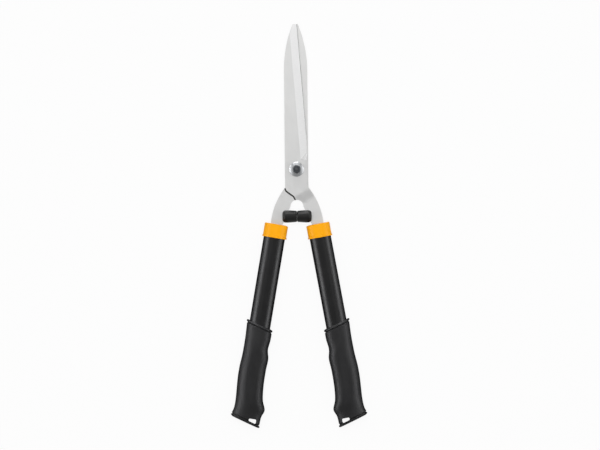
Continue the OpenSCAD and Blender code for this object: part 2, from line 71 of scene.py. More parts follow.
# Half a turn about the length of the shears, from the upper half to the lower one
TURN_OVER = (
    Matrix.Translation((0, 0, MID_Z))
    @ Matrix.Rotation(math.pi, 4, "Y")
    @ Matrix.Translation((0, 0, -MID_Z))
)


def box_size(node):
    """Size of a CAD node's box."""
    low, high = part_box(node)
    return high - low


# ---- sizes, colours and studio settings ----


def number(name, about, default, low=0.0, **more):
    """A number that has a least value."""
    return bpy.props.FloatProperty(name=name, description=about, default=default, min=low, **more)


def size(name, about, default_mm):
    """A length, written in millimetres."""
    return number(name, about, default_mm * MM, unit="LENGTH", subtype="DISTANCE")


def share(name, about, default, high=1.0):
    """A plain factor."""
    return number(name, about, default, max=high, subtype="FACTOR")


def angle(name, about, degrees):
    """An angle, written in degrees."""
    value = math.radians(degrees)
    return number(name, about, value, low=-math.pi, unit="ROTATION", subtype="ANGLE")


def colour(name, about, red, green, blue):
    """A linear colour."""
    rgb = (red, green, blue)
    return bpy.props.FloatVectorProperty(
        name=name, description=about, default=rgb, size=3, min=0.0, max=1.0, subtype="COLOR"
    )


class ShearsHandleSizes(bpy.types.PropertyGroup):
    handle_angle: angle("Handle angle", "Angle of each handle to the length of the shears", 10)
    pin_drop: size("Pin drop", "From the top of the collar to the cross pin", 11)
    tube_w: size("Tube width", "Width of the oval tube", 30.3)
    tube_h: size("Tube thickness", "Thickness of the oval tube, front to back", 21.5)
    tube_wall: size("Tube wall", "Wall of the oval tube", 1.2)
    tube_side_r: size("Tube side radius", "Radius of the narrow sides of the tube", 8.2)
    tube_end: size("Tube end", "From the top of the collar to the lower end of the tube", 256)
    collar_len: size("Collar length", "Length of the collar along the handle", 19.5)
    collar_wall: size("Collar wall", "Wall of the collar outside the tube", 1.5)
    collar_end: size("Collar end", "Thickness of the collar's end over the tube", 3)
    collar_lip: size("Collar lip", "Height of the raised lip at the collar's lower edge", 0.7)
    collar_lip_w: size("Collar lip width", "Width of that lip along the handle", 2.2)
    collar_round: size("Collar rounding", "Radius of the collar's upper edge", 1.3)
    collar_chamfer_w: size(
        "Chamfer width", "Width of the chamfer on the collar's inner upper corner", 3.8
    )
    collar_chamfer_h: size("Chamfer height", "Height of that chamfer", 1.1)
    tang_w: size("Tang width", "Width of the tang in its slot", 16.5)
    steel_t: size("Steel thickness", "Thickness of the blade, neck and tang", 3)
    seat_gap: size("Seat gap", "Clearance of pieces that are fixed together", 0.1)


class ShearsGripSizes(bpy.types.PropertyGroup):
    start: size("Start", "From the top of the collar to the start of the grip", 143.5)
    length: size("Length", "Length of the grip on the handle axis", 138.4)
    slant: share("Slant", "Rise of the slanted ends for each millimetre across", 0.28)
    side_wall: size("Side wall", "Wall of the grip beside the tube", 3.4)
    face_wall: size("Face wall", "Wall of the grip at its flat front and back faces", 2.25)
    palm_squareness: share(
        "Palm squareness", "Power of the section's outer half, 2 is an ellipse", 2.1, 8
    )
    finger_squareness: share("Finger squareness", "The same for the section's inner half", 2.4, 8)
    rim_h: size("Rim height", "Height of the rolled rims at both ends", 0.9)
    rim_w: size("Rim width", "Width of the rolled rims", 3.2)
    groove_w: size("Groove width", "Width of the groove beside each rim", 1.8)
    groove_depth: size("Groove depth", "Depth of that groove", 1.1)
    end_round: size("End rounding", "Radius that rounds the edge of both ends at the sides", 2.2)
    face_bevel: size("Face bevel", "Length of the bevel at both ends of the grip's faces", 3)
    face_fall: size("Face fall", "Height that the faces come down in that bevel", 1.7)
    hang_w: size("Hang hole width", "Width of the hang hole", 10.5)
    hang_h: size("Hang hole height", "Height of the hang hole at its inner end", 7.2)
    hang_rim: size("Hang hole rim", "Rim left below the hang hole", 3.2)
    hang_side: size("Hang hole side", "Wall left beside the hang hole, on the inner side", 5.4)
    hang_corner: size("Hang hole corner", "Radius of the hang hole's corners", 1.6)
    hang_mouth: size("Hang hole mouth", "Radius that rounds the mouths of the hang hole", 0.9)


class ShearsPivotSizes(bpy.types.PropertyGroup):
    bolt_d: size("Bolt diameter", "Diameter of the pivot bolt", 7)
    hex_af: size("Across flats", "Size across the flats of nut and bolt head", 11)
    nut_hex_h: size("Hexagon height", "Height of the nut's hexagon, below its round crown", 4.4)
    heel_edge: size(
        "Heel of the edge", "From the centre line to the cutting edge beside the pivot", 14.6
    )
    joggle_start: size("Joggle start", "From the pivot to the joggle of the neck", 36)
    joggle_len: size("Joggle length", "Length of the joggle on the inner face", 11.5)
    joggle_lead: size("Joggle lead", "Run of the outer face's fall before the inner one's", 6)
    joggle_drop: size("Joggle drop", "Height that the neck comes down in the joggle", 1.7)
    joggle_angle: angle("Joggle angle", "Direction of the joggle, below the line across", 60)
    edge_break: size("Edge break", "Width of the broken edge beside the pivot", 0.9)
    crown_d: size("Crown diameter", "Diameter of the nut's round crown", 10.8)
    crown_round: size("Crown rounding", "Radius of the crown's upper edge", 0.6)
    ring_h: size("Ring height", "Height of the locking ring's seat in the nut", 1.8)
    washer_rim_t: size("Washer rim", "Thickness of the domed washers at the rim", 0.7)
    washer_seat_d: size("Washer seat", "Diameter of their level seat", 13.1)
    bumper_d: size("Bumper diameter", "Largest diameter of a bumper", 17.6)
    bumper_face_d: size("Bumper face", "Diameter of a bumper's striking face", 15.8)
    edge_ease: size("Eased edge", "Width of the rounding on the edges of the steel", 0.25)


class ShearsColours(bpy.types.PropertyGroup):
    blade: colour("Blade steel", "Satin flat of the blades and necks", 0.70, 0.70, 0.695)
    ground: colour("Ground bevel", "Ground bevel along the cutting edge", 0.74, 0.74, 0.74)
    # Coarse steel is rougher, and its colour is darkened as painted shade against the lamps'
    # highlight on the run-in
    coarse: colour("Coarse steel", "Coarsely ground steel where the bevel begins", 0.60, 0.60, 0.60)
    # The honed edge's dark colour is painted shade, standing in for the shadow line along the
    # cutting edge
    honed: colour("Honed edge shade", "Steep honed bevel at the cutting edge", 0.30, 0.30, 0.30)
    # Near-black colour painted as shade in the slots of the necks and on the walls around them
    scale: colour(
        "Forge scale", "Unpolished steel in and around the slots of the necks", 0.045, 0.045, 0.045
    )
    zinc: colour("Zinc", "Bright zinc plating of the washers", 0.42, 0.43, 0.44)
    bolt: colour("Bolt steel", "Blackened steel of nut and bolt", 0.10, 0.105, 0.11)
    nylon: colour("Nylon", "Locking ring in the nut", 0.05, 0.06, 0.075)
    rubber: colour("Bumper rubber", "Moulded rubber of the bumpers", 0.006, 0.006, 0.0055)
    orange: colour("Collar plastic", "Orange plastic of the collars", 0.95, 0.40, 0.005)
    paint: colour("Tube paint", "Powder coat of the tubes", 0.03, 0.03, 0.0305)
    grip: colour("Grip plastic", "Soft moulded plastic of the grips", 0.034, 0.034, 0.035)
    core: colour("Core plastic", "Plastic core that holds the tang", 0.03, 0.03, 0.03)
    bearing: colour("Bearing", "Plain bearing washer between the blades", 0.50, 0.42, 0.24)
    floor: colour("Floor", "Floor that the shears lie on", 0.80, 0.80, 0.80)


class ShearsStudio(bpy.types.PropertyGroup):
    view_width: size("View width", "Width of the view at the middle of the shears", 845.7)
    aim_x: size("Aim across", "Point across the shears that the camera looks at", 4.0)
    aim_y: size("Aim along", "Point along the shears that the camera looks at", 1.2)
    roll: angle("Roll", "Turn of the camera about its line of sight", -0.589)
    lens: number("Lens", "Focal length in millimetres", 300.0, low=20.0, unit="CAMERA")
    sky_low: share("Sky at the horizon", "Brightness of the surroundings at eye level", 0.88, 4)
    sky_high: share("Sky overhead", "Brightness of the surroundings overhead", 0.42, 4)
    floor_glow: share("Floor glow", "Share of the floor's white that no shadow takes away", 0.9)


# ---- modelling by operators ----


def object_mode():
    """Leaves edit mode with nothing selected."""
    if bpy.context.mode != "OBJECT":
        bpy.ops.object.mode_set(mode="OBJECT")
    bpy.ops.object.select_all(action="DESELECT")


def pick(obj):
    """Makes obj the only selected object, and the active one."""
    object_mode()
    obj.select_set(True)
    bpy.context.view_layer.objects.active = obj


def edit(obj):
    """Opens obj in edit mode."""
    pick(obj)
    bpy.ops.object.mode_set(mode="EDIT")


def select_whole():
    """Selects the whole mesh in edit mode."""
    bpy.ops.mesh.select_all(action="SELECT")


def name_piece(obj, name):
    """Gives an object and its mesh the same name."""
    obj.name = obj.data.name = name
    return obj


def draw_outline(name, points, closed=True):
    """A new object in edit mode: a line from point to point, filled with a face if it is closed."""
    object_mode()
    bpy.ops.mesh.primitive_plane_add(size=MM)
    obj = name_piece(bpy.context.active_object, name)
    bpy.ops.object.mode_set(mode="EDIT")
    bpy.ops.mesh.select_mode(type="VERT")
    select_whole()
    bpy.ops.mesh.merge(type="CENTER")
    bpy.ops.transform.translate(value=points[0])
    for before, after in zip(points, points[1:]):
        extrude_by(after - before)
    if closed:
        select_whole()
        bpy.ops.mesh.edge_face_add()
    return obj


def extrude_by(step, ratio=(1, 1, 1), centre=(0, 0, 0)):
    """Extrudes what is selected, and resizes its new end about a centre."""
    bpy.ops.mesh.extrude_region_move(TRANSFORM_OT_translate={"value": step})
    if ratio != (1, 1, 1):
        bpy.ops.transform.resize(value=ratio, center_override=centre)


def close_mesh(obj):
    """Welds the mesh, turns its faces outwards and leaves edit mode."""
    select_whole()
    bpy.ops.mesh.remove_doubles(threshold=WELD)
    bpy.ops.mesh.normals_make_consistent(inside=False)
    object_mode()
    return obj


def spin_profile(name, points, centre, axis, steps):
    """A turned piece: a profile spun once round an axis."""
    obj = draw_outline(name, points, closed=False)
    select_whole()
    bpy.ops.mesh.spin(steps=steps, angle=math.tau, center=centre, axis=axis)
    return close_mesh(obj)


def prism(name, points, step):
    """A straight bar: an outline extruded by a step."""
    obj = draw_outline(name, points)
    extrude_by(step)
    return close_mesh(obj)


def apply_modifier(obj, kind, **settings):
    """Adds a modifier and applies it."""
    pick(obj)
    modifier = obj.modifiers.new(kind.title(), kind)
    for key, value in settings.items():
        setattr(modifier, key, value)
    bpy.ops.object.modifier_apply(modifier=modifier.name)


def combine(obj, other, operation):
    """Cuts, joins or trims obj with another solid, which is used up."""
    apply_modifier(obj, "BOOLEAN", operation=operation, object=other, solver="EXACT")
    bpy.data.objects.remove(other)


def ease_edges(obj, width, limit=30):
    """Rounds the edges of a piece that are sharper than a limit in degrees."""
    sharper = math.radians(limit)
    apply_modifier(obj, "BEVEL", width=width, segments=2, limit_method="ANGLE", angle_limit=sharper)


def smooth(obj, limit):
    """Smooth shading, apart from edges sharper than a limit in degrees."""
    pick(obj)
    bpy.ops.object.shade_smooth_by_angle(angle=math.radians(limit))


def shade(obj, limit=30):
    """Smooth shading that keeps large faces flat."""
    smooth(obj, limit)
    apply_modifier(obj, "WEIGHTED_NORMAL", keep_sharp=True)


def select_where(obj, kind, test):
    """Selects the vertices, edges or faces of a mesh in edit mode that pass a test."""
    bpy.ops.mesh.select_mode(type=kind)
    bpy.ops.mesh.select_all(action="DESELECT")
    mesh = bmesh.from_edit_mesh(obj.data)
    for element in {"VERT": mesh.verts, "EDGE": mesh.edges, "FACE": mesh.faces}[kind]:
        if test(element):
            element.select_set(True)
    mesh.select_flush_mode()
    bmesh.update_edit_mesh(obj.data)


def place(obj, matrix=None):
    """Carries a piece by a matrix, where one is given, and writes its place into its mesh."""
    pick(obj)
    if matrix is not None:
        obj.matrix_world = matrix
    bpy.ops.object.transform_apply(location=True, rotation=True, scale=True)
    return obj


def turned_over(obj, name):
    """A copy of a piece of the upper half, turned over for the lower half."""
    pick(obj)
    bpy.ops.object.duplicate()
    return place(name_piece(bpy.context.active_object, name), TURN_OVER)


def merged_copy(node, name):
    """A copy of a CAD node's mesh with its triangles welded and its flat faces made whole."""
    obj = bpy.data.objects.new(name, frame["nodes"][node].data.copy())
    obj.data.name = name
    bpy.context.scene.collection.objects.link(obj)
    edit(obj)
    bpy.ops.mesh.customdata_custom_splitnormals_clear()
    select_whole()
    bpy.ops.mesh.remove_doubles(threshold=WELD)
    bpy.ops.mesh.dissolve_limited(angle_limit=math.radians(0.2))
    object_mode()
    return obj


def handle_matrix(sizes):
    """From the handle's own frame to the right handle."""
    turn = Matrix.Rotation(sizes.handle_angle, 4, "Z")
    low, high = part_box("tang_pin_right")
    top = (low + high) / 2 + turn @ Vector((0, sizes.pin_drop, 0))
    return Matrix.Translation((top.x, top.y, MID_Z)) @ turn


def set_materials(obj, *materials):
    """Gives a piece its materials, of which its faces have the first."""
    obj.data.materials.clear()
    for material in materials:
        obj.data.materials.append(material)


def finish_piece(obj, body, node):
    """Hands a finished piece over to its body, in place of its CAD node."""
    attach(obj, body)
    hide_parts(node)


def finish_pair(right, left_name, kind):
    """Hands a piece of the right handle over, and its copy on the left handle."""
    left = turned_over(right, left_name)
    finish_piece(right, UPPER, kind + "_right")
    finish_piece(left, LOWER, kind + "_left")


def swing(start, end, steps):
    """Angles from start to end, which are in degrees."""
    return [math.radians(start + (end - start) * i / steps) for i in range(steps + 1)]


# ---- outlines ----


def arc(centre, radius, start, end, steps):
    """Points [x, y] of an arc, with its angles in degrees."""
    x, y = centre
    return [(x + radius * math.cos(w), y + radius * math.sin(w)) for w in swing(start, end, steps)]


def rounded(corners, steps=4):
    """Outline [x, y] through corners [x, y, r], each rounded where its r is above zero."""
    points = []
    for i, (x, y, r) in enumerate(corners):
        corner = Vector((x, y))
        if r <= 0:
            points.append(corner)
            continue
        before = (Vector(corners[i - 1][:2]) - corner).normalized()
        after = (Vector(corners[(i + 1) % len(corners)][:2]) - corner).normalized()
        half = math.acos(max(-1, min(1, before.dot(after)))) / 2
        middle = corner + (before + after).normalized() * r / math.sin(half)
        start = corner + before * r / math.tan(half) - middle
        sweep = start.angle_signed(corner + after * r / math.tan(half) - middle)
        for k in range(steps + 1):
            points.append(middle + Matrix.Rotation(-sweep * k / steps, 2) @ start)
    return points


def oval(sizes, grow):
    """The tube's oval grown on all sides: two crowned faces between two narrow round sides."""
    side_r, side_x = sizes.tube_side_r, sizes.tube_w / 2 - sizes.tube_side_r
    half_h = sizes.tube_h / 2
    crown_r = (side_x**2 + half_h**2 - side_r**2) / (2 * half_h - 2 * side_r)
    meet = math.degrees(math.atan2(crown_r - half_h, side_x))
    right = arc((side_x, 0), side_r + grow, -meet, meet, 12)
    top = arc((0, half_h - crown_r), crown_r + grow, meet, 180 - meet, 24)
    half = right[:-1] + top[:-1]
    return [Vector((x, 0, z)) for x, z in half + [(-x, -z) for x, z in half]]


def growth(half, before, after):
    """Ratio by which a half width grows when what is added to it changes."""
    return (half + after) / (half + before)


def smooth_curve(knots, at):
    """Smooth curve through knots [x, y], read at x."""
    i = max(k for k in range(len(knots) - 1) if knots[k][0] <= at or k == 0)

    def slope(k):
        a, b = max(0, k - 1), min(len(knots) - 1, k + 1)
        return (knots[b][1] - knots[a][1]) / (knots[b][0] - knots[a][0])

    h = knots[i + 1][0] - knots[i][0]
    f = (at - knots[i][0]) / h
    return (
        knots[i][1] * (2 * f**3 - 3 * f**2 + 1)
        + h * slope(i) * (f**3 - 2 * f**2 + f)
        + knots[i + 1][1] * (3 * f**2 - 2 * f**3)
        + h * slope(i + 1) * (f**3 - f**2)
    )


def bead(f):
    """A soft bead of height 1 over a width of 1."""
    return 0.0 if f <= 0 or f >= 1 else math.sin(math.pi * f) ** 0.7


# ---- finishes ----


def feed(tree, socket, value):
    """Links a socket to another node's output, or sets it to a plain value."""
    if isinstance(value, bpy.types.NodeSocket):
        tree.links.new(value, socket)
    else:
        socket.default_value = value


def add_node(tree, kind, inputs, output=0, **settings):
    """Adds a shader node, sets it, feeds its inputs and returns one of its outputs."""
    node = tree.nodes.new("ShaderNode" + kind)
    for key, value in settings.items():
        setattr(node, key, value)
    for name, value in inputs.items():
        feed(tree, node.inputs[name], value)
    return node.outputs[output]


# Each finish has a colour and plain values for the shader. A noise brings it to life: its
# grain in millimetres, its detail and, where it isn't even, its stretch along X, Y and Z.
# The noise mottles the colour by a share of itself, lets the roughness wander between two
# values and makes a bump of a height in millimetres and a strength. Colour and bump may
# have a noise of their own. The edge is the tint of reflections at a grazing angle.
FINISHES = {
    # Rolled steel, satin finished along the blade
    "satin_steel": dict(
        colour="blade", roughness=0.42, metallic=1.0, noise=(0.9, 4, (1, 24, 1)),
        mottle=0.02, mottle_noise=(28, 2), wander=(0.36, 0.46), bump=(0.01, 0.5),
    ),
    # Steel ground across the blade by a wheel
    "ground_steel": dict(
        colour="ground", roughness=0.36, metallic=1.0, noise=(0.7, 4, (26, 1, 1)),
        mottle=0.03, wander=(0.30, 0.42), bump=(0.012, 0.5),
    ),
    # Coarsely ground steel where the wheel runs in, its colour darkened as painted shade against
    # the lamps' highlight there
    "coarse_steel": dict(
        colour="coarse", roughness=0.62, metallic=1.0, noise=(1.1, 4, (20, 1, 1)),
        mottle=0.06, wander=(0.56, 0.68), bump=(0.02, 0.5),
    ),
    # The honed cutting edge, its dark colour painted shade that stands in for the shadow line along
    # the edge
    "honed_steel": dict(
        colour="honed", roughness=0.45, metallic=1.0, noise=(0.5, 4, (1, 20, 1)),
        mottle=0.15, wander=(0.4, 0.55),
    ),
    # Near-black painted shade in and around the slots of the necks
    "forge_scale": dict(
        colour="scale", roughness=0.55, metallic=0.7, noise=(1.2, 4),
        mottle=0.2, wander=(0.48, 0.62), bump=(0.03, 0.5),
    ),
    # Bright zinc on stamped washers
    "zinc_plating": dict(
        colour="zinc", roughness=0.37, metallic=1.0, noise=(1.6, 3),
        mottle=0.04, wander=(0.32, 0.42),
    ),
    # Blackened nut and bolt
    "blackened_steel": dict(
        colour="bolt", roughness=0.34, metallic=1.0, noise=(1.1, 5),
        mottle=0.25, wander=(0.28, 0.42),
    ),
    # Waxy nylon of the locking ring
    "nylon": dict(colour="nylon", roughness=0.4, noise=(0.8, 2), mottle=0.15),
    # Moulded rubber with a faint bloom
    "moulded_rubber": dict(
        colour="rubber", roughness=0.42, specular=0.23, noise=(5, 4),
        mottle=0.2, wander=(0.38, 0.46), bump=(0.012, 0.5), bump_noise=(0.35, 2),
    ),
    # Smooth injection moulded plastic
    "collar_plastic": dict(
        colour="orange", roughness=0.36, specular=0.08, noise=(9, 3, (1, 3, 1)),
        mottle=0.025, wander=(0.30, 0.38), bump=(0.004, 0.5), bump_noise=(0.5, 2),
    ),
    # Powder coat with a fine orange peel
    "powder_coat": dict(
        colour="paint", roughness=0.36, metallic=1.0, edge=0.0, noise=(14, 3),
        wander=(0.31, 0.37), bump=(0.02, 0.35), bump_noise=(1.3, 2),
    ),
    # Soft moulded plastic with a fine spark eroded grain
    "grip_plastic": dict(
        colour="grip", roughness=0.5, metallic=1.0, edge=0.0, noise=(22, 3, (1, 2, 1)),
        mottle=0.10, wander=(0.46, 0.56), bump=(0.05, 0.5), bump_noise=(0.42, 3),
    ),
    # Black nylon of the cores in the tubes
    "core_plastic": dict(colour="core", roughness=0.5, noise=(4, 3), mottle=0.2),
    # Plain bearing sheet
    "bearing_plastic": dict(colour="bearing", roughness=0.45, noise=(2, 3), mottle=0.1),
    # Drawn steel of the cross pins
    "plain_steel": dict(
        colour="blade", roughness=0.35, metallic=1.0, noise=(1.5, 4, (1, 1, 6)), mottle=0.08
    ),
}


def ramp(tree, value, low, high, start=0.3, end=0.7, **settings):
    """A value that runs from low to high while its input runs from start to end."""
    inputs = {"Value": value, "From Min": start, "From Max": end, "To Min": low, "To Max": high}
    return add_node(tree, "MapRange", inputs, "Result", **settings)


def finish(name, colours):
    """The material of a finish, on the principled shader, with its noises in object coordinates."""
    row = {"metallic": 0.0, "specular": 0.5, "edge": 1.0, **FINISHES[name]}
    base, edge = getattr(colours, row["colour"]), row["edge"]
    material = bpy.data.materials.new(name)
    material.use_nodes = True
    tree = material.node_tree
    position = add_node(tree, "TexCoord", {}, "Object")
    noises = {}

    def noise(key):
        grain, detail, *stretch = row.get(key, row["noise"])
        if (grain, detail) not in noises:
            scale = [1 / s for s in (stretch[0] if stretch else (1, 1, 1))]
            vector = add_node(tree, "Mapping", {"Vector": position, "Scale": scale})
            inputs = {"Vector": vector, "Scale": 1 / (grain * MM), "Detail": detail}
            noises[grain, detail] = add_node(tree, "TexNoise", inputs, "Fac")
        return noises[grain, detail]

    values = {
        "Base Color": (*base, 1),
        "Roughness": row["roughness"],
        "Metallic": row["metallic"],
        "Specular IOR Level": row["specular"],
        "Specular Tint": (edge, edge, edge, 1),
    }
    links = {}
    if "mottle" in row:
        dark, light = (
            (*[min(1, c * (1 + by)) for c in base], 1) for by in (-row["mottle"], row["mottle"])
        )
        inputs = {"Factor": ramp(tree, noise("mottle_noise"), 0, 1), "A": dark, "B": light}
        links["Base Color"] = add_node(tree, "Mix", inputs, "Result", data_type="RGBA")
    if "wander" in row:
        links["Roughness"] = ramp(tree, noise("noise"), *row["wander"])
    if "bump" in row:
        height, strength = row["bump"]
        inputs = {"Strength": strength, "Distance": height * MM, "Height": noise("bump_noise")}
        links["Normal"] = add_node(tree, "Bump", inputs, "Normal")
    for socket, value in [*values.items(), *links.items()]:
        feed(tree, tree.nodes["Principled BSDF"].inputs[socket], value)
    return material


# ---- operators ----


class SHEARS_OT_blades(bpy.types.Operator):
    """Eases the edges of both blade halves and grinds their bevels"""

    bl_idname = "shears.blades"
    bl_label = "Blades"

    # Places in the steel's list of the finishes after the satin one
    GROUND, SCALE, HONED, COARSE = range(1, 5)
    # Slopes of two stretches of a blade, from and to in degrees, and where each begins,
    # along the blade from the pivot
    HONED_SLOPE, HONED_START = (35, 47), -22 * MM
    BEVEL_SLOPE, BEVEL_START = (8, 13), 10 * MM

    def execute(self, context):
        sizes, colours = context.scene.shears_pivot, context.scene.shears_colours
        steel_t = context.scene.shears_handle.steel_t
        names = ("satin_steel", "ground_steel", "forge_scale", "honed_steel", "coarse_steel")
        finishes = [finish(name, colours) for name in names]
        for node, body, side in (("upper_blade", UPPER, 1), ("lower_blade", LOWER, -1)):
            steel = merged_copy(node, node + "_steel")
            self.break_edge(steel, sizes)
            self.soften_joggle(steel, sizes, side, steel_t)
            ease_edges(steel, sizes.edge_ease, 25)
            smooth(steel, 40)
            set_materials(steel, *finishes)
            # Painted shade in and around the slots
            self.scale(steel)
            self.grind(steel)
            # Paints the honed bevel and the broken edge beside the pivot dark, as a painted shadow
            # line
            self.give(steel, self.HONED, self.sloping(self.HONED_SLOPE, self.HONED_START))
            apply_modifier(steel, "WEIGHTED_NORMAL", keep_sharp=True)
            finish_piece(steel, body, node)
        return {"FINISHED"}

    def break_edge(self, steel, sizes):
        """Carries the cutting edge's steep slope on along the straight stretch beside the pivot,
        where the honed finish paints it dark as a shadow line.
        """
        level, reach = 2.5 * MM, 0.3 * MM
        bottom_y, top_y = PIVOT.y - 20 * MM, PIVOT.y + 27 * MM

        def at_edge(vert):
            x, y, z = vert.co
            near = abs(abs(x) - sizes.heel_edge) < reach and abs(z - MID_Z) > level
            return near and bottom_y < y < top_y

        edit(steel)
        select_where(steel, "EDGE", lambda e: all(at_edge(v) for v in e.verts))
        bpy.ops.mesh.bevel(offset=sizes.edge_break, segments=1, affect="EDGES")
        object_mode()

    def soften_joggle(self, steel, sizes, side, steel_t):
        """Lets the outer face fall into the joggle over a longer, gentler run."""
        way = Vector((side * math.cos(sizes.joggle_angle), -math.sin(sizes.joggle_angle), 0))
        start = PIVOT + way * (sizes.joggle_start - sizes.joggle_lead)
        length = sizes.joggle_lead + sizes.joggle_len
        cuts, same_row = 6, 2e-7

        def along(vert):
            return (vert.co - start).dot(way)

        def on_outer_face(vert):
            return 0 < along(vert) < length and side * (vert.co.z - MID_Z) > steel_t / 2 + WELD

        def fall(part):
            part = min(max(part, 0), 1)
            return sizes.joggle_drop * part * part * (3 - 2 * part)

        edit(steel)
        for cut in range(cuts):
            select_where(steel, "FACE", lambda f: side * f.normal.z > 0.9)
            plane = start + way * (sizes.joggle_lead * cut / cuts)
            bpy.ops.mesh.bisect(plane_co=plane, plane_no=way, use_fill=False)
        verts = bmesh.from_edit_mesh(steel.data).verts
        rows = sorted({round(along(v), 7) for v in verts if on_outer_face(v)})
        for row in rows:
            select_where(
                steel, "VERT", lambda v: abs(along(v) - row) < same_row and on_outer_face(v)
            )
            lower = fall((row - sizes.joggle_lead) / sizes.joggle_len) - fall(row / length)
            bpy.ops.transform.translate(value=(0, 0, side * lower))
        object_mode()

    def give(self, steel, index, test):
        """Gives the faces that pass a test another of the steel's finishes."""
        edit(steel)
        select_where(steel, "FACE", test)
        steel.active_material_index = index
        bpy.ops.object.material_slot_assign()
        object_mode()

    def scale(self, steel):
        """Paints the slot and the edges around it near black, as painted shade."""
        reach_x, top_y, bottom_y = 15.2 * MM, PIVOT.y - 27 * MM, PIVOT.y - 50 * MM
        slot_level, tolerance = 1.4 * MM, 0.1 * MM

        def unpolished(face):
            x, y, z = face.calc_center_median()
            near_slot = abs(x) < reach_x and bottom_y < y < top_y
            in_slot = abs(abs(z - MID_Z) - slot_level) < tolerance
            return near_slot and (in_slot or abs(face.normal.z) < 0.3)

        self.give(steel, self.SCALE, unpolished)

    def sloping(self, slope, start):
        """A test for faces that slope between two angles, from a place along the blade."""
        high, low = (math.cos(math.radians(limit)) for limit in slope)
        start_y = PIVOT.y + start

        def test(face):
            return low < abs(face.normal.z) < high and face.calc_center_median().y > start_y

        return test

    def grind(self, steel):
        """Gives the bevel its finish, a crisp border and a coarse run-in, darkened as painted shade
        against the lamps' highlight.
        """
        on_bevel = self.sloping(self.BEVEL_SLOPE, self.BEVEL_START)
        self.give(steel, self.GROUND, on_bevel)
        edit(steel)
        select_where(steel, "EDGE", lambda e: len({on_bevel(f) for f in e.link_faces}) == 2)
        bpy.ops.mesh.mark_sharp()
        self.give(steel, self.COARSE, lambda f: on_bevel(f) and abs(f.normal.y) > abs(f.normal.x))


